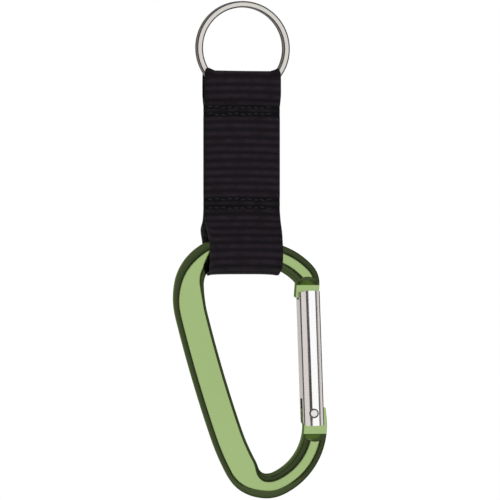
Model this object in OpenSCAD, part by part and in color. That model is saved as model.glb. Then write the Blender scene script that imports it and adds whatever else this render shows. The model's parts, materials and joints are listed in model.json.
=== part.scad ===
// Carabiner keyring: a split ring, a looped webbing strap and a bent-rod
// carabiner with a sprung channel gate. It hangs from the ring.
//
// Frame, in mm: +Z is up, X runs across the strap and Y through its thickness.
// The origin is the top of the ring's inside, where a hook or peg carries it.

/* [Assembly] */
// Which sub-part to draw

/* [Split ring] */
// Inside diameter of the ring
ring_inside_d = 25.2; // [24.8:0.1:25.6]
// Width of the flattened ring wire, seen from the front
ring_wire_w = 2.3; // [1.8:0.1:2.4]
// Thickness of one coil of the ring wire
ring_wire_t = 1.32; // [1.1:0.02:1.36]

/* [Strap] */
// Width of the webbing
strap_w = 24; // [22:0.5:24]
// Thickness of one layer of webbing
webbing_t = 1.3; // [1.1:0.1:1.3]
// Distance of the strap's middle from the ring's middle, across the strap
strap_x = -0.3; // [-0.4:0.1:-0.2]

/* [Carabiner body] */
// Diameter of the bent rod
rod_d = 7.8; // [7.4:0.1:7.9]
// Width of the spine, where the rod is pressed flat
spine_w = 10; // [9:0.1:10.2]
// Thickness of the pressed spine
spine_t = 5; // [4.6:0.1:6]
// Radius of the pressed spine's edges
spine_edge_r = 1.4; // [1:0.1:2]
// Thickness of the milled tongues at the nose and the hinge
tongue_t = 3; // [2.6:0.1:3.1]

/* [Gate] */
// Width of the gate, seen from the front
gate_w = 6.5; // [6.2:0.1:6.7]
// Depth of the gate from front to back
gate_d = 6.5; // [6:0.1:6.6]
// Width of the slot between the gate's two cheeks
gate_slot = 3.3; // [3.3:0.05:3.4]
// Radius of the rivet that the gate turns on
rivet_r = 1.1; // [0.9:0.05:1.1]

/* [Hidden] */
$fn = 64;
eps = 0.01;

steel = [0.78, 0.78, 0.8];
black = [0.12, 0.11, 0.13];
thread_black = [0.2, 0.2, 0.22];
green = [0.45, 0.6, 0.3];
silver = [0.85, 0.85, 0.86];

// Ring
ring_in_r = ring_inside_d / 2;
ring_out_r = ring_in_r + ring_wire_w;
ring_z = -ring_in_r;            // height of the ring's centre
coil_gap = 0.08;                // between the two coils
coil_y = (ring_wire_t + coil_gap) / 2;
wire_corner = 0.35;             // chamfer of the wire's corners
seam_at = 262;                  // where the coils cross over, degrees from +X
seam_half = 16;                 // half the angle the crossover takes
seam_steps = 6;
coil_steps = 54;                // sections in one coil

// Strap
strap_half_t = webbing_t;       // two layers lie back to back
ring_clear = 0.3;               // between the ring and the strap
eye_half = 1.9;                 // half the space inside the ring loop
eye_top = -20.8;                // inside top of the ring loop
eye_z = eye_top - eye_half;
eye_wall_foot = -27.9;          // where the loop starts closing under the ring
eye_foot = -29.8;               // where its two layers meet
flex_z = -46;                   // crease the strap folds about
flex_gap = 0.15;
arc_steps = 24;                 // sides on each folded arc
swing_z = -76.8;                // axis of the rod inside the lower loop
cradle_r = 5.2;                   // inside radius of the lower loop
cradle_top = -64.5;             // where the lower loop's layers meet
eye_taper = 0.8;                // rise over which the ring loop closes outside
eye_wall_rise = 0.5;
loop_gap = 0.1;                 // least room left round the rod in the loop
crown_room_r = 9.5;             // room for the rod's crown at the left end
crown_room_h = 0.6;
crown_cone_r = 8.2;
crown_cone_h = 2.3;
shoulder_cone_r = 6;            // and for its shoulder at the right end
shoulder_cone_h = 1.8;

// Stitching
thread_t = 0.4;
stitch_pitch = 2;
stitch_gap = 0.7;               // bare webbing between two stitches
stitch_bury = 0.15;             // how far a stitch sinks into the webbing
stitch_margin = 1.5;            // from the webbing's edge to the first stitch
leg_inset = 0.05;               // a leg is this much thinner than its stitch
upper_rows = [-31.2, -34];
lower_rows = [-59.6, -62.6];

// Carabiner body: its centreline runs from the nose over the top, down the
// spine and round to the hinge. Each leg is [length, turn to the left].
nose_start = [20.0, -93.8];
nose_heading = 86;
legs = [
    [7.5, 0],      // nose, straight up
    [3.5, 47],     // nose corner
    [8.7, 25],     // shoulder
    [8.3, 17],
    [8.4, 1],      // top, under the strap
    [18.7, 89],    // crown
    [9.4, 19],
    [38.4, 5],     // spine
    [13.7, 11],
    [12.4, 83.5],  // bottom bend
    [24.4, 71],    // right-hand sweep
    [7, 8]         // up to the hinge
];
step_turn = 7;                  // most turn between two sections
step_length = 4;                // most length between two sections
flat_start = [44.4, 61.8];      // the section changes from round to flat here
flat_end = [110.5, 121.5];      // and from flat to round here
corner_points = 5;              // points on each quarter of a section
rod_r = rod_d / 2;

// Hinge and nose
rivet = [22.1, -126.7];
gate_lean = 2;                  // the closed gate leans towards the spine
mill_reach = 10;                // more than the rod's width
nose_flat_top = -86.6;          // the nose tongue starts here
nose_slope_top = -83.8;         // and its sloped shoulder here
nose_tip = -90.6;
keeper_tip = -93.4;             // the part of the tongue inside the gate
hinge_flat_foot = -133.2;
hinge_slope_foot = -135.6;
hinge_end = -125.1;
tip_round = 1.1;
keeper_gap = 0.35;              // between the keeper and the gate's web
keeper_rise = 1;                // height over the web where that gap is set
nose_shave = 0.3;               // taken off the nose on the spine side
mill_margin = 0.1;              // the slopes run out this far past the rod
cam_r = 2.75;
cam_offset = 0.6;

// Gate, in its own frame: u across, y through, w up from the rivet
web_t = 1.5;
gate_top = 38.4;
gate_foot = -3.9;
web_top = 35.7;
web_foot = 4.7;
gate_dome_r = 14;
gate_dome_u = 0.3;              // the dome's middle
gate_dome_h = 0.6;              // height of the dome's cut
gate_edge_r = 0.9;
gate_foot_r = 1.5;
groove_d = 0.24;                // depth of the grooves along both cheeks
groove_vee = [-1.25, -0.6];   // a vee groove, from u to u
groove_wide = [1.65, 2.6];      // and a wider one
groove_wide_low = 2;            // where the wider one is deepest
seat_w = 19;                    // foot of the tab the spring pushes against
seat_t = 1.2;
seat_l = 3.4;
fuse = 0.2;                     // how far joined solids run into each other
head_gap = 0.02;                // between the rivet and the gate
slide_u = -0.4;                 // line of the plunger and the spring
running = 0.05;

// Rivet
head_r = 1.53;
head_h = 0.55;

// Plunger and spring
plunger_r = 1.25;
plunger_gap = 0.06;
plunger_shoulder = 6.6;
stem_r = 0.6;
stem_top = 12.5;
spring_wire = 0.4;
spring_turns = 9;
spring_sides = 8;
spring_steps = 14;              // sections in one turn
spring_gap = 0.03;              // left at each end of the spring

// ---------------------------------------------------------------- functions

function smooth(t) = let (c = min(1, max(0, t))) c * c * (3 - 2 * c);

// Where a leg started at pose [x, z, heading] ends
function advance(pose, length, turn) =
    let (h = pose[2])
    abs(turn) < eps
    ? [pose[0] + length * cos(h), pose[1] + length * sin(h), h]
    : let (r = length / (turn * PI / 180))
      [pose[0] + r * (sin(h + turn) - sin(h)), pose[1] - r * (cos(h + turn) - cos(h)), h + turn];

function leg_steps(leg) = max(ceil(abs(leg[1]) / step_turn), ceil(leg[0] / step_length));

// Poses [x, z, heading, distance] along all the legs from leg i on
function poses_from(i, pose, s) =
    i == len(legs)
    ? [[pose[0], pose[1], pose[2], s]]
    : let (n = leg_steps(legs[i]), length = legs[i][0], turn = legs[i][1])
      concat(
          [for (k = [0 : n - 1])
              let (p = advance(pose, length * k / n, turn * k / n))
              [p[0], p[1], p[2], s + length * k / n]],
          poses_from(i + 1, advance(pose, length, turn), s + length));

// How flat the rod is at distance s: 0 is round, 1 is fully pressed
function flatness(s) =
    smooth((s - flat_start[0]) / (flat_start[1] - flat_start[0]))
    - smooth((s - flat_end[0]) / (flat_end[1] - flat_end[0]));

// A rounded rectangle [across, through]: a circle when f is 0. Its facets
// touch the true curve in their middles.
function rod_section(f) =
    let (a = rod_r + (spine_w / 2 - rod_r) * f,
         b = rod_r + (spine_t / 2 - rod_r) * f,
         c = rod_r + (spine_edge_r - rod_r) * f,
         half_step = 45 / corner_points)
    [for (q = [0 : 3])
        for (k = [0 : corner_points - 1])
            let (t = 90 * q + half_step * (2 * k + 1),
                 su = (q == 0 || q == 3) ? 1 : -1,
                 sv = (q < 2) ? 1 : -1,
                 r = c / cos(half_step))
            [su * (a - c) + r * cos(t), sv * (b - c) + r * sin(t)]];

// A closed skin over a stack of rings that all have m points
module skin(rings) {
    m = len(rings[0]);
    n = len(rings);
    points = [for (r = rings) for (p = r) p];
    sides = [for (i = [0 : n - 2])
                for (j = [0 : m - 1])
                    [i * m + j, (i + 1) * m + j, (i + 1) * m + (j + 1) % m, i * m + (j + 1) % m]];
    first = [for (j = [0 : m - 1]) j];
    last = [for (j = [m - 1 : -1 : 0]) (n - 1) * m + j];
    polyhedron(points, concat(sides, [first, last]), convexity = 10);
}

// ------------------------------------------------------------- split ring

// The wire's outline at [radius, y], with its corners broken
function wire_points(y) =
    let (r0 = ring_in_r, r1 = ring_out_r, c = wire_corner,
         y0 = y - ring_wire_t / 2, y1 = y + ring_wire_t / 2)
    [[r0 + c, y0], [r1 - c, y0], [r1, y0 + c], [r1, y1 - c],
     [r1 - c, y1], [r0 + c, y1], [r0, y1 - c], [r0, y0 + c]];

module split_ring() {
    turn = 360 - 2 * seam_half;
    // angles round the ring, and how far back the wire is at each: the front
    // coil, the step from front to back, then the back coil
    steps = concat(
        [for (k = [0 : coil_steps]) [turn * k / coil_steps, -coil_y]],
        [for (k = [1 : seam_steps - 1])
            [turn + 2 * seam_half * k / seam_steps, coil_y * (2 * smooth(k / seam_steps) - 1)]],
        [for (k = [0 : coil_steps]) [360 + turn * k / coil_steps, coil_y]]);
    rings = [for (s = steps)
        let (a = seam_at + seam_half + s[0])
        [for (p = wire_points(s[1])) [p[0] * cos(a), p[1], ring_z + p[0] * sin(a)]]];
    color(steel)
        skin(rings);
}

// ------------------------------------------------------------------ strap

// Extrudes an outline drawn in [y, z] across the strap
module across_strap(width) {
    translate([strap_x - width / 2, 0, 0])
        rotate([90, 0, 90])
            linear_extrude(width)
                children();
}

// Points on an arc, from angle a0 to a1
function arc(centre, r, a0, a1) =
    [for (k = [0 : arc_steps])
        let (t = a0 + (a1 - a0) * k / arc_steps)
        [centre[0] + r * cos(t), centre[1] + r * sin(t)]];

module ring_loop_outline() {
    out = eye_half + webbing_t;
    foot = eye_foot - eye_taper;
    difference() {
        polygon(concat(
            arc([0, eye_z], out, 0, 180),
            [[-out, eye_wall_foot + eye_wall_rise], [-strap_half_t, foot]],
            arc([0, flex_z], strap_half_t, 180, 360),
            [[strap_half_t, foot], [out, eye_wall_foot + eye_wall_rise]]));
        polygon(concat(
            arc([0, eye_z], eye_half, 0, 180),
            [[-eye_half, eye_wall_foot], [0, eye_foot], [eye_half, eye_wall_foot]]));
    }
}

module strap_upper() {
    wire_half = eye_half + running;
    color(black)
        difference() {
            across_strap(strap_w)
                ring_loop_outline();
            translate([0, wire_half, ring_z])
                rotate([90, 0, 0])
                    difference() {
                        cylinder(r = ring_out_r + ring_clear, h = 2 * wire_half, $fn = 128);
                        translate([0, 0, -1])
                            cylinder(r = ring_in_r - ring_clear, h = 2 * wire_half + 2, $fn = 128);
                    }
        }
}

// A drop shape: a circle with straight sides up to a point
module drop(r, top) {
    reach = top - swing_z;
    a = asin(r / reach);
    translate([0, swing_z])
        circle(r);
    polygon([[0, top], [-r * cos(a), swing_z + r * sin(a)], [0, swing_z],
             [r * cos(a), swing_z + r * sin(a)]]);
}

module rod_loop_outline() {
    top = flex_z - strap_half_t - flex_gap;
    outer_r = cradle_r + webbing_t;
    lean = asin(cradle_r / (cradle_top - swing_z));
    outer_top = cradle_top + webbing_t / sin(lean);
    difference() {
        union() {
            drop(outer_r, outer_top);
            translate([-strap_half_t, cradle_top])
                square([2 * strap_half_t, top - cradle_top]);
        }
        drop(cradle_r, cradle_top);
    }
}

// Room for the rod where it bends away under the loop's ends
module bend_room() {
    left = strap_x - strap_w / 2 - eps;
    right = strap_x + strap_w / 2 + eps;
    translate([left, 0, swing_z])
        rotate([0, 90, 0]) {
            cylinder(r = crown_room_r, h = crown_room_h);
            cylinder(r1 = crown_cone_r, r2 = cradle_r - loop_gap, h = crown_cone_h);
        }
    translate([right, 0, swing_z])
        rotate([0, -90, 0])
            cylinder(r1 = shoulder_cone_r, r2 = cradle_r - loop_gap, h = shoulder_cone_h);
}

module strap_lower() {
    color(black)
        difference() {
            across_strap(strap_w)
                rod_loop_outline();
            bend_room();
        }
}

// One row of thread: stitches on both faces, joined through the webbing
module stitch_row(z) {
    first = strap_x - strap_w / 2 + stitch_margin;
    count = floor((strap_w - 2 * stitch_margin) / stitch_pitch);
    bar = stitch_pitch - stitch_gap;
    outside = strap_half_t - stitch_bury;
    for (i = [0 : count - 1], side = [-1, 1]) {
        x = first + i * stitch_pitch + (side > 0 ? stitch_pitch / 2 : 0);
        translate([x, side > 0 ? outside : -outside - thread_t, z - thread_t / 2])
            cube([bar, thread_t, thread_t]);
    }
    for (i = [1 : 2 * count - 1])
        translate([first + i * stitch_pitch / 2, -outside - thread_t / 2, z - thread_t / 2 + leg_inset])
            cube([bar - stitch_pitch / 2, 2 * outside + thread_t, thread_t - 2 * leg_inset]);
}

module upper_stitching() {
    color(thread_black)
        for (z = upper_rows)
            stitch_row(z);
}

module lower_stitching() {
    color(thread_black)
        for (z = lower_rows)
            stitch_row(z);
}

// --------------------------------------------------------- carabiner body

module bent_rod() {
    start = [nose_start[0], nose_start[1], nose_heading];
    rings = [for (p = poses_from(0, start, 0))
        [for (q = rod_section(flatness(p[3])))
            [p[0] + q[0] * sin(p[2]), q[1], p[1] - q[0] * cos(p[2])]]];
    skin(rings);
}

// Both sides of a tongue: everything outside its thickness, as a prism
// whose outline in [y, z] is flat, then sloped out to the rod's surface
module tongue_mill(x, flat_far, flat_near, slope_end) {
    half = tongue_t / 2;
    for (side = [-1, 1])
        translate([x - mill_reach, 0, 0])
            rotate([90, 0, 90])
                linear_extrude(2 * mill_reach)
                    polygon([[side * half, flat_far], [side * half, flat_near],
                             [side * (rod_r + mill_margin), slope_end],
                             [side * mill_reach, slope_end], [side * mill_reach, flat_far]]);
}

// Squares the nose off and leaves the keeper that enters the gate
module nose_trim() {
    left = nose_start[0] - mill_reach;
    keeper_x = rivet[0] - (web_top + keeper_rise) * sin(gate_lean) - gate_w / 2 + web_t + keeper_gap;
    edge = nose_start[0] - rod_r + nose_shave;
    translate([left, -mill_reach, nose_tip - mill_reach])
        cube([keeper_x - left, 2 * mill_reach, mill_reach]);
    translate([left, -mill_reach, keeper_tip - mill_reach])
        cube([2 * mill_reach, 2 * mill_reach, mill_reach]);
    difference() {
        translate([left, -mill_reach, nose_tip - eps])
            cube([edge + tip_round - left, 2 * mill_reach, tip_round]);
        translate([edge + tip_round, mill_reach + 1, nose_tip + tip_round])
            rotate([90, 0, 0])
                cylinder(r = tip_round, h = 2 * mill_reach + 2);
    }
}

module cam() {
    translate([rivet[0], 0, rivet[1]])
        rotate([0, -gate_lean, 0])
            translate([-cam_offset, tongue_t / 2, 0])
                rotate([90, 0, 0])
                    cylinder(r = cam_r, h = tongue_t);
}

module carabiner_body() {
    color(green)
        difference() {
            union() {
                difference() {
                    bent_rod();
                    tongue_mill(nose_start[0], keeper_tip - mill_reach, nose_flat_top, nose_slope_top);
                    tongue_mill(rivet[0], hinge_end + mill_reach, hinge_flat_foot, hinge_slope_foot);
                    nose_trim();
                    translate([rivet[0] - mill_reach, -mill_reach, hinge_end])
                        cube([2 * mill_reach, 2 * mill_reach, mill_reach]);
                }
                cam();
            }
            translate([rivet[0], mill_reach, rivet[1]])
                rotate([90, 0, 0])
                    cylinder(r = rivet_r + running, h = 2 * mill_reach);
        }
}

// ------------------------------------------------------------------- gate

// Places children drawn in the gate's own frame
module at_gate() {
    translate([rivet[0], 0, rivet[1]])
        rotate([0, -gate_lean, 0])
            children();
}

// The channel's section, open on the side away from the spine
module gate_outline() {
    r = gate_edge_r;
    difference() {
        union() {
            square([gate_w, gate_d - 2 * r], center = true);
            square([gate_w - 2 * r, gate_d], center = true);
            for (su = [-1, 1], sy = [-1, 1])
                translate([su * (gate_w / 2 - r), sy * (gate_d / 2 - r)])
                    circle(r);
        }
        translate([-gate_w / 2 + web_t, -gate_slot / 2])
            square([gate_w, gate_slot]);
        for (side = [-1, 1]) {
            far = side * (gate_d / 2 + eps);
            low = side * (gate_d / 2 - groove_d);
            middle = (groove_vee[0] + groove_vee[1]) / 2;
            polygon([[groove_vee[0], far], [groove_vee[1], far], [middle, low]]);
            polygon([[groove_wide[0], far], [groove_wide[1], far], [groove_wide_low, low]]);
        }
    }
}

module gate_channel() {
    color(silver)
        at_gate()
            difference() {
                union() {
                    translate([0, 0, gate_foot])
                        linear_extrude(gate_top - gate_foot)
                            gate_outline();
                    translate([-gate_w / 2 + web_t - fuse, -gate_slot / 2 - fuse, seat_w])
                        cube([seat_l, gate_slot + 2 * fuse, seat_t]);
                }
                // the web stops short of both ends
                translate([-gate_w, -gate_slot / 2, gate_foot - 1])
                    cube([gate_w, gate_slot, web_foot - gate_foot + 1]);
                translate([-gate_w, -gate_slot / 2, web_top])
                    cube([gate_w, gate_slot, gate_top]);
                // domed top
                difference() {
                    translate([-gate_w, -gate_d, gate_top - gate_dome_h])
                        cube([2 * gate_w, 2 * gate_d, 2]);
                    translate([gate_dome_u, gate_d, gate_top - gate_dome_r])
                        rotate([90, 0, 0])
                            cylinder(r = gate_dome_r, h = 2 * gate_d, $fn = 256);
                }
                // rounded foot on the spine side
                difference() {
                    translate([-gate_w / 2 - 1, -gate_d, gate_foot - 1])
                        cube([gate_foot_r + 1, 2 * gate_d, gate_foot_r + 1]);
                    translate([-gate_w / 2 + gate_foot_r, gate_d + 1, gate_foot + gate_foot_r])
                        rotate([90, 0, 0])
                            cylinder(r = gate_foot_r, h = 2 * gate_d + 2);
                }
                translate([0, gate_d, 0])
                    rotate([90, 0, 0])
                        cylinder(r = rivet_r + head_gap, h = 2 * gate_d);
            }
}

// A pin with a domed head on each cheek
module gate_rivet() {
    half = gate_d / 2 + head_gap;
    dome_r = (head_r * head_r + head_h * head_h) / (2 * head_h);
    color(silver)
        at_gate()
            rotate([90, 0, 0]) {
                translate([0, 0, -half - fuse / 2])
                    cylinder(r = rivet_r, h = 2 * half + fuse);
                for (side = [0, 1])
                    mirror([0, 0, side])
                        translate([0, 0, half])
                            intersection() {
                                translate([0, 0, head_h - dome_r])
                                    sphere(dome_r);
                                cylinder(r = head_r + 1, h = head_h + 1);
                            }
            }
}

// ------------------------------------------------------ plunger and spring

function plunger_w() =
    sqrt(pow(cam_r + plunger_r + plunger_gap, 2) - pow(cam_offset + slide_u, 2));

module spring_plunger() {
    w = plunger_w();
    color(steel)
        at_gate()
            translate([slide_u, 0, 0]) {
                translate([0, 0, w])
                    sphere(plunger_r);
                translate([0, 0, w])
                    cylinder(r = plunger_r, h = plunger_shoulder - w);
                translate([0, 0, plunger_shoulder - fuse])
                    cylinder(r = stem_r, h = stem_top - plunger_shoulder + fuse);
            }
}

module gate_spring() {
    foot = plunger_shoulder + spring_wire / 2 + spring_gap;
    top = seat_w - spring_wire / 2 - spring_gap;
    r = plunger_r - spring_wire / 2;
    n = spring_turns * spring_steps;
    rings = [for (i = [0 : n])
        let (a = 360 * i / spring_steps, w = foot + (top - foot) * i / n)
        [for (j = [0 : spring_sides - 1])
            let (b = 360 * j / spring_sides,
                 rr = r + spring_wire / 2 * cos(b))
            [rr * cos(a), rr * sin(a), w + spring_wire / 2 * sin(b)]]];
    color(steel)
        at_gate()
            translate([slide_u, 0, 0])
                skin(rings);
}

split_ring();
strap_upper();
upper_stitching();
strap_lower();
lower_stitching();
carabiner_body();
gate_channel();
gate_rivet();
spring_plunger();
gate_spring();
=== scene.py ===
"""Looks of the carabiner keyring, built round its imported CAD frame.

Lengths in the tables below are millimetres, and MM turns them into metres.
"""

import json
import math
import random

import bmesh
import bpy
import numpy as np
from mathutils import Matrix, Vector


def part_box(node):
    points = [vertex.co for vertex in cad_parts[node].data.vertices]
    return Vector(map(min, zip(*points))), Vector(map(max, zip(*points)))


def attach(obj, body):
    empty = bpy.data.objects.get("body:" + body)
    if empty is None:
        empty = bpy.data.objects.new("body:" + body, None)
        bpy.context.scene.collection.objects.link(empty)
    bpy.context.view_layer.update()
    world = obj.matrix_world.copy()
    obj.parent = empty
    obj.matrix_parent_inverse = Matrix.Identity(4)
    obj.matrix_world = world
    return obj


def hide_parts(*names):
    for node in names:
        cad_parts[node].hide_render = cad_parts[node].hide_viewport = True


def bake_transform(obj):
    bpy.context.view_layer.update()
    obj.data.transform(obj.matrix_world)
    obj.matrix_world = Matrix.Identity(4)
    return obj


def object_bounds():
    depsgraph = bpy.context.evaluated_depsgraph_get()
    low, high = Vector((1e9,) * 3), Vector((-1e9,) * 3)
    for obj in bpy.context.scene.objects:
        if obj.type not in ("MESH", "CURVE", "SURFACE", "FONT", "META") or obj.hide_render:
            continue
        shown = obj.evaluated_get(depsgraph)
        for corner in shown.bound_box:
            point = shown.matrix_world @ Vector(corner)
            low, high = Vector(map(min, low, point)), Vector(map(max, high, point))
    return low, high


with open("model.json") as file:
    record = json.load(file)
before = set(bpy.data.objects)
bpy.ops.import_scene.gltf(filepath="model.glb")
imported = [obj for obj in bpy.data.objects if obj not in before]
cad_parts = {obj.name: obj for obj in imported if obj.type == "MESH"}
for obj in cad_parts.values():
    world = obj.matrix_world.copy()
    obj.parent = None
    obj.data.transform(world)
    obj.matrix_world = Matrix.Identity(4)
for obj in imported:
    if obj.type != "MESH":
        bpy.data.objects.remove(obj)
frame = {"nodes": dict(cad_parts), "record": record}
frame_lo, frame_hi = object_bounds()
random.seed(7)

MM = 0.001

JOINTS = {j["name"]: j for j in frame["record"]["behaviour"]["joints"]}
RING_Z = JOINTS["ring_spin"]["pos_m"][2] / MM
SWING_Z = JOINTS["strap_swing"]["pos_m"][2] / MM
RIVET_X = JOINTS["gate_hinge"]["pos_m"][0] / MM
RIVET_Z = JOINTS["gate_hinge"]["pos_m"][2] / MM


def box_mm(node):
    """A CAD node's box in millimetres, to the nearest hundredth, as two corners."""
    return [[round(value / MM, 2) for value in corner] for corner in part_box(node)]


BODY_HI = box_mm("carabiner_body")[1]
GATE_HI = box_mm("gate_channel")[1]
RING_LO, RING_HI = box_mm("split_ring")
EYE_LO, EYE_HI = box_mm("strap_upper")
RIVET_LO, RIVET_HI = box_mm("gate_rivet")


# ------------------------------------------------------------------ shapes


def smooth(t):
    """Eases from 0 to 1 as t goes from 0 to 1."""
    t = min(1.0, max(0.0, t))
    return t * t * (3 - 2 * t)


def mesh_object(name, points, faces):
    """A mesh from points in millimetres."""
    mesh = bpy.data.meshes.new(name)
    mesh.from_pydata([(x * MM, y * MM, z * MM) for x, y, z in points], [], faces)
    mesh.validate()
    made = bpy.data.objects.new(name, mesh)
    bpy.context.scene.collection.objects.link(made)
    return made


def skin(name, rings, closed=False):
    """A skin over rings of points that all have the same count."""
    m, n = len(rings[0]), len(rings)
    points = [p for ring in rings for p in ring]
    faces = []
    for i in range(n if closed else n - 1):
        a, b = i * m, ((i + 1) % n) * m
        for j in range(m):
            k = (j + 1) % m
            faces.append((a + j, b + j, b + k, a + k))
    if not closed:
        faces.append(tuple(range(m)))
        faces.append(tuple(reversed(range((n - 1) * m, n * m))))
    made = mesh_object(name, points, faces)
    outward(made)
    return made


def outward(made):
    """Points all normals outwards."""
    bm = bmesh.new()
    bm.from_mesh(made.data)
    bmesh.ops.recalc_face_normals(bm, faces=bm.faces)
    bm.to_mesh(made.data)
    bm.free()


def shade(made, angle=35):
    """Smooth shading, with edges sharper than the angle kept crisp."""
    for polygon in made.data.polygons:
        polygon.use_smooth = True
    made.data.set_sharp_from_angle(angle=math.radians(angle))


def soften_edges(made, width, angle):
    """Small bevels on every edge sharper than the angle."""
    bevel = made.modifiers.new("edges", "BEVEL")
    bevel.width = width * MM
    bevel.segments = 2
    bevel.limit_method = "ANGLE"
    bevel.angle_limit = math.radians(angle)


def prism(name, outline, lo, hi, axis):
    """A solid block from an outline, running from lo to hi along X, Y or Z."""
    order = {"X": lambda u, v, w: (w, u, v), "Y": lambda u, v, w: (u, w, v), "Z": lambda u, v, w: (u, v, w)}
    place = order[axis]
    return skin(name, [[place(u, v, w) for u, v in outline] for w in (lo, hi)])


def carve(made, cutters, operation="DIFFERENCE"):
    """Cuts the cutters out of a piece for good, or joins them on."""
    for cutter in cutters:
        modifier = made.modifiers.new("cut", "BOOLEAN")
        modifier.operation = operation
        modifier.solver = "EXACT"
        modifier.object = cutter
        graph = bpy.context.evaluated_depsgraph_get()
        graph.update()
        cut = bpy.data.meshes.new_from_object(made.evaluated_get(graph))
        made.modifiers.clear()
        made.data = cut
        bpy.data.objects.remove(cutter, do_unlink=True)


def arc(cx, cz, r, a0, a1, steps):
    """Points on an arc, angles in degrees."""
    angles = [math.radians(a0 + (a1 - a0) * k / steps) for k in range(steps + 1)]
    return [(cx + r * math.cos(t), cz + r * math.sin(t)) for t in angles]


# ------------------------------------------------------------ carabiner body

ROD_R = BODY_HI[1]
SPINE_HALF_W = 5.0
SPINE_HALF_T = 2.5
SPINE_OUTER_R = 2.3  # the pressed spine is rounder on its outer edge
SPINE_INNER_R = 1.6
NOSE_START = (20.0, -93.8)
NOSE_HEADING = 86
# Each leg of the rod's centreline: length, and degrees turned to the left
LEGS = (
    (7.5, 0),  # nose, straight up
    (3.5, 47),  # nose corner
    (8.7, 25),  # shoulder
    (8.3, 17),
    (8.4, 1),  # top, under the strap
    (18.7, 89),  # crown
    (9.4, 19),
    (38.4, 5),  # spine
    (13.7, 11),
    (12.4, 83.5),  # bottom bend
    (24.4, 71),  # right-hand sweep
    (7.0, 8),  # up to the hinge
)
# Distances along the rod over which it becomes flat, and round again
FLAT_START = (44.4, 61.8)
FLAT_END = (114.5, 124.5)
SECTION_STEP = 0.6
SECTION_POINTS = 18
TONGUE_HALF = 1.5
MILL_REACH = 10
NOSE_FLAT_TOP = -86.6
NOSE_SLOPE_TOP = -83.8
NOSE_TIP = -90.6
KEEPER_TIP = -93.4
KEEPER_X = 18.1
NOSE_EDGE_X = 16.4
TIP_ROUND = 1.1
MILL_MARGIN = 0.1
BORE_GAP = 0.05
CAM_INSET = 0.001  # keeps the cam's faces off the tongue's
HINGE_FLAT_FOOT = -133.2
HINGE_SLOPE_FOOT = -135.6
HINGE_END = -125.1


def flatness(s):
    """How far the rod is pressed flat at distance s: 0 round, 1 flat."""
    rise = smooth((s - FLAT_START[0]) / (FLAT_START[1] - FLAT_START[0]))
    fall = smooth((s - FLAT_END[0]) / (FLAT_END[1] - FLAT_END[0]))
    return rise - fall


def centreline():
    """Poses along the rod: x, z, heading in radians, distance."""
    x, z = NOSE_START
    h, s = math.radians(NOSE_HEADING), 0.0
    poses = [(x, z, h, s)]
    for length, turn in LEGS:
        steps = math.ceil(length / SECTION_STEP)
        step, bend = length / steps, math.radians(turn) / steps
        for _ in range(steps):
            x += step * math.cos(h + bend / 2)
            z += step * math.sin(h + bend / 2)
            h += bend
            s += step
            poses.append((x, z, h, s))
    return poses


def rod_section(f):
    """A rounded rectangle, or a circle where f is 0."""
    a = ROD_R + (SPINE_HALF_W - ROD_R) * f
    b = ROD_R + (SPINE_HALF_T - ROD_R) * f
    points = []
    for quarter in range(4):
        su = 1 if quarter in (0, 3) else -1
        sv = 1 if quarter < 2 else -1
        edge = SPINE_OUTER_R if su > 0 else SPINE_INNER_R
        c = ROD_R + (edge - ROD_R) * f
        for k in range(SECTION_POINTS):
            t = math.radians(90 * quarter + 90 * (k + 0.5) / SECTION_POINTS)
            points.append((su * (a - c) + c * math.cos(t), sv * (b - c) + c * math.sin(t)))
    return points


def tongue_cutters(x, flat_far, flat_near, slope_end):
    """What is milled off both faces to leave a tongue with sloped shoulders."""
    cutters = []
    for side in (-1, 1):
        outline = [
            (side * TONGUE_HALF, flat_far),
            (side * TONGUE_HALF, flat_near),
            (side * (ROD_R + MILL_MARGIN), slope_end),
            (side * MILL_REACH, slope_end),
            (side * MILL_REACH, flat_far),
        ]
        cutters.append(prism("mill", outline, x - MILL_REACH, x + MILL_REACH, "X"))
    return cutters


def nose_cutters():
    """What is cut off the nose below its tip and the keeper's."""
    left, right = NOSE_START[0] - MILL_REACH, NOSE_START[0] + MILL_REACH
    low = KEEPER_TIP - MILL_REACH
    corner = arc(NOSE_EDGE_X + TIP_ROUND, NOSE_TIP + TIP_ROUND, TIP_ROUND, 180, 270, 10)
    outline = [(left, low), (left, corner[0][1]), *corner, (KEEPER_X, NOSE_TIP)]
    outline += [(KEEPER_X, KEEPER_TIP), (right, KEEPER_TIP), (right, low)]
    return [prism("trim", outline, -MILL_REACH, MILL_REACH, "Y")]


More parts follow.
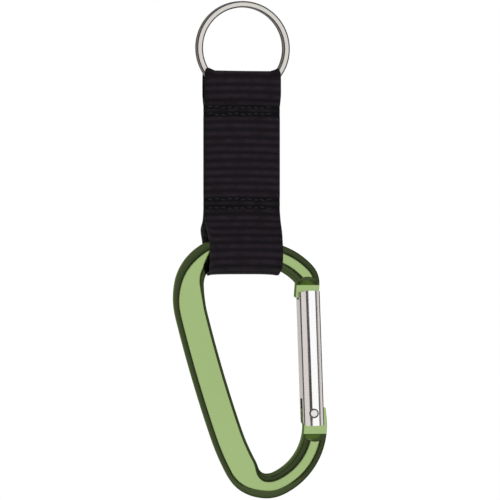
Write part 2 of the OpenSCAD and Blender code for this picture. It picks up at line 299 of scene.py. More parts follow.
def make_body():
    """The bent rod, with its tongues milled, its cam joined on and its bore cut."""
    rings = []
    for x, z, h, s in centreline():
        across = (math.sin(h), -math.cos(h))
        rings.append([(x + u * across[0], v, z + u * across[1]) for u, v in rod_section(flatness(s))])
    rod = skin("carabiner_rod", rings)
    x0, x1 = RIVET_X - MILL_REACH, RIVET_X + MILL_REACH
    top = [(x0, HINGE_END), (x0, HINGE_END + MILL_REACH), (x1, HINGE_END + MILL_REACH), (x1, HINGE_END)]
    cutters = tongue_cutters(NOSE_START[0], KEEPER_TIP - MILL_REACH, NOSE_FLAT_TOP, NOSE_SLOPE_TOP)
    cutters += tongue_cutters(RIVET_X, HINGE_END + MILL_REACH, HINGE_FLAT_FOOT, HINGE_SLOPE_FOOT)
    cutters += nose_cutters()
    cutters.append(prism("end", top, -MILL_REACH, MILL_REACH, "Y"))
    carve(rod, cutters)
    cam = arc(RIVET_X - CAM_OFFSET, RIVET_Z, CAM_R, 0, 357, 119)
    carve(rod, [prism("cam", cam, -TONGUE_HALF + CAM_INSET, TONGUE_HALF - CAM_INSET, "Y")], "UNION")
    bore = arc(RIVET_X, RIVET_Z, RIVET_R + BORE_GAP, 0, 355, 71)
    carve(rod, [prism("bore", bore, -MILL_REACH, MILL_REACH, "Y")])
    outward(rod)
    soften_edges(rod, width=0.12, angle=32)
    shade(rod, 40)
    return rod


# -------------------------------------------------------------------- gate

CAM_R = 2.75
CAM_OFFSET = 0.6
RIVET_R = 1.1
GATE_LEAN = 2  # degrees
GATE_HALF_D = GATE_HI[1]
GATE_HALF_W = GATE_HALF_D
GATE_SLOT_HALF = 1.65
GATE_WEB_T = 1.5
GATE_TOP = 38.4
GATE_FOOT = -3.9
GATE_WEB_TOP = 35.7
GATE_WEB_FOOT = 4.7
GATE_DOME_R = 14
GATE_DOME_U = 0.3
GATE_EDGE_R = 0.6
GROOVE_D = 0.24
# The two grooves beside the rib: where each starts and ends across the cheek
VEE = (-1.4, -0.4)
WIDE = (1.65, 2.6)
WIDE_LOW = 2.0
RIB_CROWN = 0.04
RIB_CROWN_U = 0.5
GATE_FOOT_R = 1.5
SEAT_W = 19
SEAT_T = 1.2
SEAT_L = 3.4
WEB_CUT_GAP = 0.01  # keeps the web's cutters off the channel's open side
FUSE = 0.2  # how far joined solids run into each other
CUT_PAST = 1  # how far cutters run past what they cut
GATE_BORE_GAP = 0.02
HEAD_GAP = 0.02
RIVET_SIDES = 64


def at_gate(made):
    """Moves a piece drawn in the gate's own frame to where the gate is."""
    place = Matrix.Translation((RIVET_X * MM, 0, RIVET_Z * MM))
    lean = Matrix.Rotation(math.radians(-GATE_LEAN), 4, "Y")
    made.data.transform(place @ lean)
    return made


def cheek_face():
    """The front of a cheek from its spine side: a land, a vee groove, a raised
    rib, a wider groove and a narrow land. Points are u, depth."""
    top, low = GATE_HALF_D, GATE_HALF_D - GROOVE_D
    near = arc(-GATE_HALF_W + GATE_EDGE_R, top - GATE_EDGE_R, GATE_EDGE_R, 180, 90, 10)
    grooves = [(VEE[0], top), ((VEE[0] + VEE[1]) / 2, low), (VEE[1], top)]
    grooves += [(RIB_CROWN_U, top + RIB_CROWN), (WIDE[0], top), (WIDE_LOW, low), (WIDE[1], top)]
    far = arc(GATE_HALF_W - GATE_EDGE_R, top - GATE_EDGE_R, GATE_EDGE_R, 90, 0, 10)
    return near + grooves + far


def gate_outline():
    """The channel's section: both cheeks, joined by the web on the spine side."""
    front = [(u, -d) for u, d in cheek_face()]
    back = [(u, d) for u, d in reversed(cheek_face())]
    inner = -GATE_HALF_W + GATE_WEB_T
    slot = [(GATE_HALF_W, -GATE_SLOT_HALF), (inner, -GATE_SLOT_HALF)]
    slot += [(inner, GATE_SLOT_HALF), (GATE_HALF_W, GATE_SLOT_HALF)]
    return front + slot + back


def make_gate():
    """The channel, with its web cut back at both ends, a domed top, a rounded
    foot and a tab inside for the spring to push on."""
    channel = prism("gate_cheeks", gate_outline(), GATE_FOOT, GATE_TOP, "Z")
    wide, deep = 2 * GATE_HALF_W, 2 * GATE_HALF_D
    s = GATE_SLOT_HALF
    open_side = GATE_HALF_W - WEB_CUT_GAP
    spine_side = [(-wide, -s), (open_side, -s), (open_side, s), (-wide, s)]
    above, beside = GATE_TOP + 2 * CUT_PAST, wide + 3 * CUT_PAST
    dome = arc(GATE_DOME_U, GATE_TOP - GATE_DOME_R, GATE_DOME_R, 125, 55, 48)
    dome += [(beside, dome[-1][1]), (beside, above), (-beside, above), (-beside, dome[0][1])]
    r = GATE_FOOT_R
    left, below = -GATE_HALF_W - CUT_PAST, GATE_FOOT - CUT_PAST
    foot = arc(-GATE_HALF_W + r, GATE_FOOT + r, r, 180, 270, 12)
    foot += [(-GATE_HALF_W + r, below), (left, below), (left, GATE_FOOT + r)]
    bore = arc(0, 0, RIVET_R + GATE_BORE_GAP, 0, 355, 71)
    cutters = [
        prism("web_foot", spine_side, below, GATE_WEB_FOOT, "Z"),
        prism("web_top", spine_side, GATE_WEB_TOP, above + CUT_PAST, "Z"),
        prism("dome", dome, -deep, deep, "Y"),
        prism("foot", foot, -deep, deep, "Y"),
        prism("bore", bore, -deep, deep, "Y"),
    ]
    carve(channel, cutters)
    tab_x, tab_half = -GATE_HALF_W + GATE_WEB_T - FUSE, s + FUSE
    tab = [(tab_x, -tab_half), (tab_x + SEAT_L, -tab_half), (tab_x + SEAT_L, tab_half), (tab_x, tab_half)]
    carve(channel, [prism("tab", tab, SEAT_W, SEAT_W + SEAT_T, "Z")], "UNION")
    outward(channel)
    # The raised rib's faces take the second material, whose brighter colour is a painted highlight.
    for face in channel.data.polygons:
        u, through = face.center.x / MM, abs(face.center.y) / MM
        if VEE[1] < u < WIDE[0] and through > GATE_HALF_D - GROOVE_D / 4:
            face.material_index = 1
    at_gate(channel)
    soften_edges(channel, width=0.1, angle=50)
    shade(channel, 40)
    return channel


def make_rivet():
    """A pin with a domed head on each cheek, turned about Y."""
    under = GATE_HALF_D + HEAD_GAP
    head_r, head_h = round((RIVET_HI[0] - RIVET_LO[0]) / 2, 2), round(RIVET_HI[1] - under, 2)
    profile = [(RIVET_R, 0), (RIVET_R, under), (head_r, under)]
    profile += [(head_r * math.cos(t), under + head_h * math.sin(t)) for t in np.linspace(0.15, 1.5, 10)]
    profile = [(r, -y) for r, y in reversed(profile)] + profile[1:]
    angles = np.linspace(0, 2 * math.pi, RIVET_SIDES, endpoint=False)
    rings = [[(r * math.cos(a), y, r * math.sin(a)) for a in angles] for r, y in profile]
    rivet = skin("rivet_pin", rings)
    at_gate(rivet)
    shade(rivet, 40)
    return rivet


# -------------------------------------------------------------------- ring

RING_IN_R = -RING_Z  # the frame's origin is the top of the ring's inside
RING_OUT_R = -RING_LO[0]
COIL_GAP = 0.08
COIL_T = RING_HI[1] - COIL_GAP / 2
COIL_Y = (RING_HI[1] + COIL_GAP / 2) / 2
SEAM_AT = 262  # degrees round the ring to where its coils cross over
SEAM_HALF = 16
RING_STEPS = 300
WIRE_POINTS = 44
WIRE_SQUARE = 0.86
WIRE_HALF_W = 1.02
COIL_SHIFT = 0.12  # the coils never lie quite in line


def wire_outline():
    """One coil's section, as radius and y: wire rolled flat, but still domed."""
    middle = (RING_IN_R + RING_OUT_R) / 2
    points = []
    for k in range(WIRE_POINTS):
        t = 2 * math.pi * k / WIRE_POINTS
        across = math.copysign(abs(math.cos(t)) ** WIRE_SQUARE, math.cos(t))
        through = math.copysign(abs(math.sin(t)) ** WIRE_SQUARE, math.sin(t))
        points.append((middle + WIRE_HALF_W * across, COIL_T / 2 * through))
    return points


def make_ring():
    """One wire wound nearly twice round, crossing over behind the strap."""
    turn = 360 - 2 * SEAM_HALF
    total = 360 + turn
    rings = []
    for k in range(2 * RING_STEPS + 1):
        along = total * k / (2 * RING_STEPS)
        back = 2 * smooth((along - turn) / (2 * SEAM_HALF)) - 1
        a = math.radians(SEAM_AT + SEAM_HALF + along)
        x, z = -COIL_SHIFT * back, RING_Z + COIL_SHIFT * back / 2
        y = COIL_Y * back
        rings.append([(x + r * math.cos(a), y + dy, z + r * math.sin(a)) for r, dy in wire_outline()])
    ring = skin("ring_wire", rings)
    shade(ring, 60)
    return ring


# ------------------------------------------------------------------- strap

STRAP_X = (EYE_LO[0] + EYE_HI[0]) / 2
STRAP_HALF_W = (EYE_HI[0] - EYE_LO[0]) / 2
WEBBING_T = 1.25
PLY_GAP = 0.02
EYE_HALF = EYE_HI[1] - WEBBING_T
EYE_TOP_Z = EYE_HI[2] - EYE_HI[1]
EYE_WALL_FOOT = -27.4
EYE_END = -30.8
CRADLE_R = 5.2
CRADLE_TOP = -64.5
CRADLE_END = CRADLE_TOP + 0.8
SOFTEN_TIMES = 12
STITCH_ROWS = (-31.0, -33.2, -59.8, -62.4)
PINCH = 0.22
PINCH_REACH = 0.75
# How far the painted shade round each row of stitches spreads.
DENT_SHADE_REACH = 1.5
RIB_PITCH = 2.4
RIB_HEIGHT = 0.1
RIB_BOW = 0.14
RIB_WANDER = 0.05
RIB_SHARPNESS = 1.4
SELVEDGE_SHARPNESS = 14  # how quickly the webbing thins at its edges
SELVEDGE_SHARE = 0.45
SELVEDGE_T = 0.12
PATH_STEP = 0.2
ACROSS_STEPS = 56
RING_ROOM = 0.3
# The ring pulls the strap's edges in near the top fold, and the rod's bends
# tuck them in round the lower loop
PULL_FROM_Y = 1.68
PULL_FADE = 0.2
TUCK_START = SWING_Z + 7
TUCK_FADE = 6
UNDER_START = SWING_Z - 3.5
UNDER_FADE = 2
TUCK_LEFT, TUCK_RIGHT = 0.8, 0.1
UNDER_LEFT, UNDER_RIGHT = 0.55, 0.35
# The lower loop opens outwards at its ends, fading away up the strap
LOOP_NEAR = 6.2
LOOP_FAR = 11
FLARE_LEFT, FLARE_RIGHT = 1.9, 0.45
FLARE_LEFT_X, FLARE_RIGHT_X = -10.0, 9.8
FLARE_WIDTH = 1.8
SAG = 0.5
# The top corners curl up: by degrees of turn round the ring, then by share
# of the strap's half width
FOLD_HALF_Y = 1.0
CORNER_LIFT = 1.8
LIFT_PEAK_TURN = 42
LIFT_FADE_TURN = 5
LIFT_FROM, LIFT_WIDTH = 0.66, 0.28
LIFT_DROP, LIFT_DROP_FROM, LIFT_DROP_WIDTH = 0.6, 0.94, 0.06


def webbing_path():
    """The middle of the webbing in y, z: up the back, over the ring, down the
    front, round the rod and up again, as a closed loop of even steps."""
    half = WEBBING_T / 2
    eye_r, rod_r = EYE_HALF + half, CRADLE_R + half
    reach = CRADLE_TOP - SWING_Z
    lean = math.degrees(math.asin(CRADLE_R / reach))
    ply = half + PLY_GAP
    front = [(-eye_r, EYE_WALL_FOOT), (-ply, EYE_END), (-ply, CRADLE_END)]
    under = arc(0, SWING_Z, rod_r, 180 - lean, 360 + lean, 90)
    back = [(ply, CRADLE_END), (ply, EYE_END), (eye_r, EYE_WALL_FOOT)]
    over = arc(0, EYE_TOP_Z, eye_r, 0, 180, 40)
    corners = np.array(over + front + under + back + over[:1])
    steps = np.r_[0, np.cumsum(np.hypot(*np.diff(corners, axis=0).T))]
    count = int(steps[-1] / PATH_STEP)
    even = np.linspace(0, steps[-1], count, endpoint=False)
    path = np.c_[np.interp(even, steps, corners[:, 0]), np.interp(even, steps, corners[:, 1])]
    for _ in range(SOFTEN_TIMES):
        path = (np.roll(path, 1, 0) + 2 * path + np.roll(path, -1, 0)) / 4
    return path, steps[-1]


def edge_room(y, z):
    """How far each edge of the webbing stays in where the ring or the rod
    bends past it: left and right, from the strap's full half width."""
    left = right = 0.0
    if z > EYE_TOP_Z:
        inside = math.sqrt((RING_IN_R - RING_ROOM) ** 2 - (RING_Z - z) ** 2)
        pull = 1 - smooth((abs(y) - PULL_FROM_Y) / PULL_FADE)
        left = pull * max(0.0, STRAP_HALF_W - STRAP_X - inside)
        right = pull * max(0.0, STRAP_HALF_W + STRAP_X - inside)
    if z < TUCK_START:
        tuck = smooth((TUCK_START - z) / TUCK_FADE)
        under = smooth((UNDER_START - z) / UNDER_FADE)
        left += TUCK_LEFT * tuck + UNDER_LEFT * under
        right += TUCK_RIGHT * tuck + UNDER_RIGHT * under
    return left, right


def loop_flare(x, y, z):
    """How far the lower loop's ends open outwards, clear of the rod's bends."""
    near = 1 - smooth((math.hypot(y, z - SWING_Z) - LOOP_NEAR) / (LOOP_FAR - LOOP_NEAR))
    left = FLARE_LEFT * (max(0.0, FLARE_LEFT_X - x) / FLARE_WIDTH) ** 2
    right = FLARE_RIGHT * (max(0.0, x - FLARE_RIGHT_X) / FLARE_WIDTH) ** 2
    sag = SAG * ((x - STRAP_X) / STRAP_HALF_W) ** 4
    return near * (left + right + sag)


def corner_lift(y, z, u):
    """How far the ring loop's corners curl up in front of the wire."""
    if z < EYE_TOP_Z or abs(y) < FOLD_HALF_Y:
        return 0.0
    turn = math.degrees(math.asin(min(1.0, (z - EYE_TOP_Z) / (EYE_HALF + WEBBING_T / 2))))
    rise = smooth(turn / LIFT_PEAK_TURN) * (1 - smooth((turn - LIFT_PEAK_TURN) / LIFT_FADE_TURN))
    edge = smooth((abs(u) - LIFT_FROM) / LIFT_WIDTH)
    edge -= LIFT_DROP * smooth((abs(u) - LIFT_DROP_FROM) / LIFT_DROP_WIDTH)
    return CORNER_LIFT * rise * edge


def press(z, reach):
    """How much the rows of stitches pull the webbing in at height z."""
    return sum(math.exp(-(((z - row) / reach) ** 2)) for row in STITCH_ROWS)


def lay_marks(made, marks, length):
    """Stores where each point lies on the webbing, across it and along it."""
    layer = made.data.uv_layers.new(name="webbing")
    for face in made.data.polygons:
        corners = [made.data.loops[i].vertex_index for i in face.loop_indices]
        wraps = max(marks[c][1] for c in corners) - min(marks[c][1] for c in corners) > length / 2
        for i, c in zip(face.loop_indices, corners):
            u, v = marks[c]
            layer.data[i].uv = (u, v + length if wraps and v < length / 2 else v)


def make_strap():
    """One ribbed strip folded round its closed path, thinner at its edges."""
    path, length = webbing_path()
    ahead = np.roll(path, -1, 0) - np.roll(path, 1, 0)
    ahead /= np.linalg.norm(ahead, axis=1)[:, None]
    normal = np.c_[-ahead[:, 1], ahead[:, 0]]
    ribs = round(length / RIB_PITCH)
    wander = [random.uniform(-1, 1) for _ in range(ribs + 1)]
    rings, marks = [], []
    count = len(path)
    for i, (y, z) in enumerate(path):
        along = i / count
        left, right = edge_room(y, z)
        x0 = STRAP_X - STRAP_HALF_W + left
        x1 = STRAP_X + STRAP_HALF_W - right
        out = normal[i]
        pinch = PINCH * press(z, PINCH_REACH)
        outer, inner = [], []
        for k in range(ACROSS_STEPS + 1):
            u = 2 * k / ACROSS_STEPS - 1
            bow = RIB_BOW * (1 - u * u)
            phase = 2 * math.pi * (along * ribs + bow + RIB_WANDER * wander[int(along * ribs)])
            rib = RIB_HEIGHT * (0.5 - 0.5 * math.cos(phase)) ** RIB_SHARPNESS
            selvedge = min(1.0, (1 - abs(u)) * SELVEDGE_SHARPNESS) ** 0.5
            half = (WEBBING_T / 2 - SELVEDGE_T) * (SELVEDGE_SHARE + (1 - SELVEDGE_SHARE) * selvedge)
            x = x0 + (x1 - x0) * k / ACROSS_STEPS
            rise = half + rib * selvedge - pinch
            lift = corner_lift(y, z, u)
            flare = loop_flare(x, y, z)
            outer.append((x, y - out[0] * (rise + flare), z - out[1] * (rise + flare) + lift))
            inner.append((x, y + out[0] * (half - flare), z + out[1] * (half - flare) + lift))
            marks.append((x * MM, phase * RIB_PITCH * MM / (2 * math.pi)))
        rings.append(outer + inner[::-1])
        marks += marks[:-ACROSS_STEPS - 2:-1]
    strap = skin("webbing_strap", rings, closed=True)
    lay_marks(strap, marks, ribs * RIB_PITCH * MM)
    # How dark the painted shade under the stitch rows is at each point.
    dent_shades = [press(z, DENT_SHADE_REACH) for _, z in path for _ in range(2 * (ACROSS_STEPS + 1))]
    strap.data.attributes.new("dent_shade", "FLOAT", "POINT").data.foreach_set("value", dent_shades)
    shade(strap, 80)
    return strap


STITCH_PITCH = 2.05
STITCH_R = 0.24
STITCH_INSET = 1.9
STITCH_MARGIN = 3
STITCH_DIP = 0.22
STITCH_LEAN = 0.28
STITCH_FILL = (0.72, 0.86)
STITCH_SINK = 0.16
CAPSULE_RINGS = 11
CAPSULE_SIDES = 10
CAPSULE_TIP = 0.12
CAPSULE_SHAPE = 3.2


def capsule(centre, along, radius, length):
    """Rings of a short rounded bar, for one stitch."""
    along = Vector(along).normalized()
    side = along.cross(Vector((0, 0, 1)))
    side = side.normalized() if side.length > 0.1 else Vector((1, 0, 0))
    up = side.cross(along)
    rings = []
    for t in np.linspace(-1, 1, CAPSULE_RINGS):
        r = radius * max(CAPSULE_TIP, math.sqrt(max(0.0, 1 - abs(t) ** CAPSULE_SHAPE)))
        middle = Vector(centre) + along * (t * length / 2)
        rings.append([
            tuple(middle + side * (r * math.cos(a)) + up * (r * math.sin(a)))
            for a in np.linspace(0, 2 * math.pi, CAPSULE_SIDES, endpoint=False)
        ])
    return rings


def make_stitches(name, rows):
    """Short bars of thread lying in both faces of the strap."""
    count = int((2 * STRAP_HALF_W - STITCH_MARGIN) / STITCH_PITCH)
    points, faces = [], []
    for row in rows:
        for i in range(count):
            for side in (-1, 1):
                place = i + (0.5 if side > 0 else 0)
                x = STRAP_X - STRAP_HALF_W + STITCH_INSET + STITCH_PITCH * place
                dip = random.uniform(-STITCH_DIP, STITCH_DIP)
                centre = (x, side * (WEBBING_T - STITCH_SINK), row + dip)
                lean = (1, 0, random.uniform(-STITCH_LEAN, STITCH_LEAN))
                rings = capsule(centre, lean, STITCH_R, STITCH_PITCH * random.uniform(*STITCH_FILL))
                base, m = len(points), len(rings[0])
                points += [p for ring in rings for p in ring]
                for a in range(len(rings) - 1):
                    for b in range(m):
                        c = (b + 1) % m
                        low, high = base + a * m, base + (a + 1) * m
                        faces.append((low + b, high + b, high + c, low + c))
                faces.append(tuple(base + b for b in range(m)))
                faces.append(tuple(base + (len(rings) - 1) * m + b for b in reversed(range(m))))
    thread = mesh_object(name, points, faces)
    outward(thread)
    shade(thread, 60)
    return thread


# --------------------------------------------------------------- materials


class Nodes:
    """A short way to build a material's node tree."""

    def __init__(self, name):
        self.material = bpy.data.materials.new(name)
        self.material.use_nodes = True
        self.tree = self.material.node_tree
        self.shader = self.tree.nodes["Principled BSDF"]
        self.place = self.add("ShaderNodeTexCoord").outputs["Object"]

    def add(self, kind, **settings):
        node = self.tree.nodes.new(kind)
        for key, value in settings.items():
            setattr(node, key, value)
        return node

    def link(self, a, b):
        self.tree.links.new(a, b)

    def use_marks(self):
        """Lays the textures along the webbing, so that they bend with it."""
        self.place = self.add("ShaderNodeUVMap", uv_map="webbing").outputs["UV"]

    def noise(self, scale, detail=3.0, stretch=(1, 1, 1), roughness=0.5):
        """Noise over the piece, finer as scale grows; stretch thins an axis."""
        mapping = self.add("ShaderNodeMapping")
        mapping.inputs["Scale"].default_value = stretch
        self.link(self.place, mapping.inputs["Vector"])
        noise = self.add("ShaderNodeTexNoise")
        noise.inputs["Scale"].default_value = scale
        noise.inputs["Detail"].default_value = detail
        noise.inputs["Roughness"].default_value = roughness
        self.link(mapping.outputs["Vector"], noise.inputs["Vector"])
        return noise.outputs["Fac"]

    def spread(self, value, lo, hi, start=0.35, end=0.65):
        """The value mapped onto lo to hi."""
        node = self.add("ShaderNodeMapRange")
        node.inputs["From Min"].default_value = start
        node.inputs["From Max"].default_value = end
        node.inputs["To Min"].default_value = lo
        node.inputs["To Max"].default_value = hi
        self.link(value, node.inputs["Value"])
        return node.outputs["Result"]

    def math(self, operation, a, b):
        node = self.add("ShaderNodeMath", operation=operation)
        for socket, value in zip(node.inputs, (a, b)):
            if isinstance(value, (int, float)):
                socket.default_value = value
            else:
                self.link(value, socket)
        return node.outputs["Value"]

    def mix(self, factor, a, b):
        node = self.add("ShaderNodeMix", data_type="RGBA")
        self.link(factor, node.inputs["Factor"])
        node.inputs["A"].default_value = (*a, 1)
        node.inputs["B"].default_value = (*b, 1)
        return node.outputs["Result"]

    def bump(self, height, distance, strength=1.0):
        node = self.add("ShaderNodeBump")
        node.inputs["Distance"].default_value = distance
        node.inputs["Strength"].default_value = strength
        self.link(height, node.inputs["Height"])
        self.link(node.outputs["Normal"], self.shader.inputs["Normal"])

    def set(self, **values):
        for key, value in values.items():
            self.shader.inputs[key.replace("_", " ")].default_value = value


def anodised_green():
    """Dyed anodised aluminium: clear and bright, with faint fine marks in its surface."""
    n = Nodes("anodised_green")
    n.set(Metallic=1.0, Coat_Weight=0.08, Coat_Roughness=0.08, Specular_Tint=(0.1, 0.13, 0.08, 1))
    patch = n.noise(60, 2)
    n.link(n.mix(patch, (0.34, 0.47, 0.19), (0.37, 0.50, 0.21)), n.shader.inputs["Base Color"])
    n.link(n.spread(n.noise(900, 4), 0.13, 0.19), n.shader.inputs["Roughness"])
    n.bump(n.noise(2600, 3), 0.004 * MM, 0.35)
    return n.material


def metal(name, tones, scale, detail, roughness, bump, strength=0.3, stretch=(1, 1, 1)):
    """Bare metal, with fine marks in its colour, its shine and its surface."""
    n = Nodes(name)
    n.set(Metallic=1.0)
    marks = n.noise(scale, detail, stretch=stretch)
    n.link(n.mix(marks, *tones), n.shader.inputs["Base Color"])
    n.link(n.spread(marks, *roughness), n.shader.inputs["Roughness"])
    n.bump(marks, bump * MM, strength)
    return n.material


DRAWN_LINES = (1, 1, 0.03)  # noise drawn out along the gate


def bare_aluminium():
    """Satin channel stock, with lines drawn along its length."""
    tones = (0.63, 0.59, 0.57), (0.75, 0.705, 0.68)
    return metal("bare_aluminium", tones, 2600, 4, (0.2, 0.3), 0.01, stretch=DRAWN_LINES)


def rib_painted_highlight():
    """The gate's raised rib, given a much brighter colour than the rest: a painted highlight."""
    tones = (0.93, 0.93, 0.93), (0.99, 0.99, 0.99)
    return metal("rib_painted_highlight", tones, 2600, 4, (0.1, 0.18), 0.006, stretch=DRAWN_LINES)


def nickel_plate():
    """Bright plate over wire, with fine rubbing marks."""
    tones = (0.62, 0.59, 0.55), (0.72, 0.69, 0.65)
    return metal("nickel_plate", tones, 1500, 5, (0.12, 0.22), 0.006, strength=0.4)


def polished_rivet():
    """A turned head, rubbed bright."""
    tones = (0.74, 0.73, 0.71), (0.84, 0.83, 0.81)
    return metal("polished_rivet", tones, 2200, 4, (0.14, 0.24), 0.005)


def drawn_wire():
    """Plain spring steel, greyer than the plate."""
    tones = (0.42, 0.42, 0.43), (0.52, 0.52, 0.53)
    return metal("drawn_wire", tones, 3000, 3, (0.25, 0.38), 0.005)


YARN_PITCH = 0.62
TWIST_PITCH = 0.22


def wave(n, pitch_mm, direction, distort=1.2):
    """Even stripes across a direction, one in each pitch."""
    node = n.add("ShaderNodeTexWave", wave_type="BANDS", bands_direction=direction)
    node.inputs["Scale"].default_value = 2 * math.pi / (20 * pitch_mm * MM)
    node.inputs["Distortion"].default_value = distort
    node.inputs["Detail"].default_value = 2
    node.inputs["Detail Scale"].default_value = 3
    n.link(n.place, node.inputs["Vector"])
    return node.outputs["Fac"]


def black_webbing():
    """Ribbed polyester: yarns up the strap, crossed by fine picks, with a painted highlight on the rib
    crests and painted shade in the dents under the stitches."""
    n = Nodes("black_webbing")
    n.use_marks()
    n.set(Sheen_Weight=0.1, Sheen_Roughness=0.5, Specular_IOR_Level=0.25)
    yarns = wave(n, YARN_PITCH, "X")
    picks = wave(n, RIB_PITCH / 4, "Y")
    weave = n.math("MULTIPLY", yarns, picks)
    fuzz = n.noise(1500, 4, roughness=0.75)
    dent_shade = n.add("ShaderNodeAttribute", attribute_name="dent_shade").outputs["Fac"]
    along = n.add("ShaderNodeSeparateXYZ")
    n.link(n.place, along.inputs["Vector"])
    # Painted highlight: a lighter colour along each rib crest, in patches.
    crest_highlight = n.math("COSINE", n.math("MULTIPLY", along.outputs["Y"], 2 * math.pi / (RIB_PITCH * MM)), 0)
    crest_highlight = n.spread(crest_highlight, 0, 1, 0.9, -1)
    patches = n.noise(300, 2)
    tone = n.math("ADD", n.math("MULTIPLY", weave, 0.4), n.math("MULTIPLY", fuzz, 0.75))
    tone = n.math("ADD", tone, n.math("MULTIPLY", crest_highlight, n.spread(patches, 0.3, 0.8)))
    # Painted shade: darker where the stitches press the webbing in.
    tone = n.math("SUBTRACT", tone, n.math("MULTIPLY", dent_shade, 0.3))
    colour = n.mix(n.spread(tone, 0, 1, 0.25, 1.35), (0.002, 0.001, 0.003), (0.05, 0.034, 0.05))
    n.link(colour, n.shader.inputs["Base Color"])
    n.link(n.spread(fuzz, 0.6, 0.85), n.shader.inputs["Roughness"])
    n.bump(n.math("ADD", tone, fuzz), 0.16 * MM, 0.9)
    return n.material


def black_thread():
    """Twisted thread, a little shinier than the webbing."""
    n = Nodes("black_thread")
    n.set(Specular_IOR_Level=0.4)
    twist = wave(n, TWIST_PITCH, "DIAGONAL", 0.5)
    n.link(n.mix(twist, (0.01, 0.009, 0.012), (0.05, 0.045, 0.055)), n.shader.inputs["Base Color"])
    n.link(n.spread(twist, 0.38, 0.5), n.shader.inputs["Roughness"])
    n.bump(twist, 0.05 * MM, 0.8)
    return n.material


def paint(made, *materials):
    """Gives a piece its materials, keeping which face wears which."""
    marks = [face.material_index for face in made.data.polygons]
    made.data.materials.clear()
    for material in materials:
        made.data.materials.append(material)
    made.data.polygons.foreach_set("material_index", marks)


def paint_node(node, material):
    """Gives a shown CAD node its material, leaving its mesh as it is."""
    made = frame["nodes"][node]
    for holder in made.material_slots:
        holder.material = material


# ------------------------------------------------------------------ studio

FLOOR_DROP = 0.12
FLOOR_R = 0.16
LENS = 180
SENSOR = 36
FIELD = 0.15625  # width of the view at the object, in metres
VIEW_AZIMUTH = -10
AIM_SHIFT = Vector((-0.085, 0, -0.088)) * MM  # from the middle of the object's box
# How bright the studio is at each angle from the soft panel's middle
STUDIO = (
    (0, 1.0),
    (36, 1.0),
    (41, 0.03),
    (55, 0.03),
    (62, 0.1),
    (85, 0.12),
    (105, 0.14),
    (140, 0.17),
    (155, 0.65),
    (180, 0.7),
)


def make_floor():
    """A round pale floor, well below the hanging object."""
    lo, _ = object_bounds()
    bpy.ops.mesh.primitive_circle_add(vertices=96, radius=FLOOR_R, fill_type="NGON")
    floor = bpy.context.object
    floor.name = "floor"
    floor.location = (0, 0, lo.z - FLOOR_DROP)
    n = Nodes("pale_floor")
    tone = n.noise(40, 3)
    n.link(n.mix(tone, (0.80, 0.80, 0.80), (0.83, 0.83, 0.83)), n.shader.inputs["Base Color"])
    n.set(Roughness=0.7)
    paint(floor, n.material)


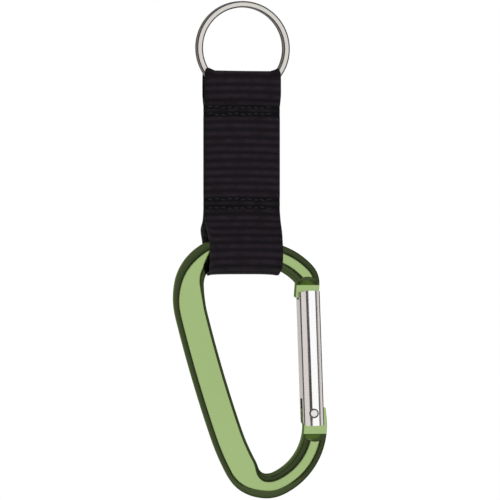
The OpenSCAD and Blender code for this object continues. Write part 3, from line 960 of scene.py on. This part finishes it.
def make_world():
    """A white backdrop, and a studio lit by one broad soft panel that stands
    square to the camera's mirror view, with a dimmer glow from behind."""
    world = bpy.data.worlds.new("studio")
    bpy.context.scene.world = world
    world.use_nodes = True
    tree = world.node_tree
    tree.nodes.clear()
    place = tree.nodes.new("ShaderNodeTexCoord")
    facing = tree.nodes.new("ShaderNodeVectorMath")
    facing.operation = "DOT_PRODUCT"
    a = math.radians(-VIEW_AZIMUTH)
    facing.inputs[1].default_value = (math.sin(a), -math.cos(a), 0)
    share = tree.nodes.new("ShaderNodeMapRange")
    share.inputs["From Min"].default_value = -1
    ramp = tree.nodes.new("ShaderNodeValToRGB")
    stops = sorted((0.5 + 0.5 * math.cos(math.radians(angle)), level) for angle, level in STUDIO)
    for i, (position, level) in enumerate(stops):
        stop = ramp.color_ramp.elements[i] if i < 2 else ramp.color_ramp.elements.new(position)
        stop.position = position
        stop.color = (level, level, level, 1)
    lit = tree.nodes.new("ShaderNodeBackground")
    path = tree.nodes.new("ShaderNodeLightPath")
    backdrop = tree.nodes.new("ShaderNodeBackground")
    backdrop.inputs["Color"].default_value = (1, 1, 1, 1)
    mix = tree.nodes.new("ShaderNodeMixShader")
    output = tree.nodes.new("ShaderNodeOutputWorld")
    tree.links.new(place.outputs["Generated"], facing.inputs[0])
    tree.links.new(facing.outputs["Value"], share.inputs["Value"])
    tree.links.new(share.outputs["Result"], ramp.inputs["Fac"])
    tree.links.new(ramp.outputs["Color"], lit.inputs["Color"])
    tree.links.new(path.outputs["Is Camera Ray"], mix.inputs["Fac"])
    tree.links.new(lit.outputs["Background"], mix.inputs[1])
    tree.links.new(backdrop.outputs["Background"], mix.inputs[2])
    tree.links.new(mix.outputs["Shader"], output.inputs["Surface"])


def make_camera():
    """A long lens, level with the object's middle and a little to its left."""
    middle = (Vector(frame_lo) + Vector(frame_hi)) / 2
    data = bpy.data.cameras.new("camera")
    data.lens = LENS
    data.sensor_width = SENSOR
    camera = bpy.data.objects.new("camera", data)
    a = math.radians(VIEW_AZIMUTH)
    back = Vector((math.sin(a), -math.cos(a), 0))
    aim = middle + AIM_SHIFT
    camera.location = aim + back * (FIELD * LENS / SENSOR)
    camera.rotation_mode = "QUATERNION"
    camera.rotation_quaternion = (-back).to_track_quat("-Z", "Y")
    bpy.context.scene.collection.objects.link(camera)
    bpy.context.scene.camera = camera


# ------------------------------------------------------------------- build


def build():
    """Makes each piece, attaches most to the body they move with, and hides the CAD parts that they stand
    for.
    """
    body = make_body()
    paint(body, anodised_green())
    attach(body, "carabiner")
    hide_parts("carabiner_body")

    gate = make_gate()
    # The gate's second material is a painted highlight on its rib.
    paint(gate, bare_aluminium(), rib_painted_highlight())
    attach(gate, "gate")
    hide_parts("gate_channel")

    rivet = make_rivet()
    paint(rivet, polished_rivet())
    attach(rivet, "gate")
    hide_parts("gate_rivet")

    ring = make_ring()
    paint(ring, nickel_plate())
    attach(ring, "ring")
    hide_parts("split_ring")

    strap = make_strap()
    paint(strap, black_webbing())
    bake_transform(strap)
    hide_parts("strap_upper", "strap_lower")

    thread = black_thread()
    for name, rows, side, node in (
        ("upper_thread", STITCH_ROWS[:2], "strap_top", "upper_stitching"),
        ("lower_thread", STITCH_ROWS[2:], "strap_end", "lower_stitching"),
    ):
        stitches = make_stitches(name, rows)
        paint(stitches, thread)
        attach(stitches, side)
        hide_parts(node)

    wire = drawn_wire()
    for node in ("spring_plunger", "gate_spring"):
        paint_node(node, wire)


build()
make_world()
make_floor()
make_camera()
bpy.context.scene.view_settings.view_transform = "Standard"
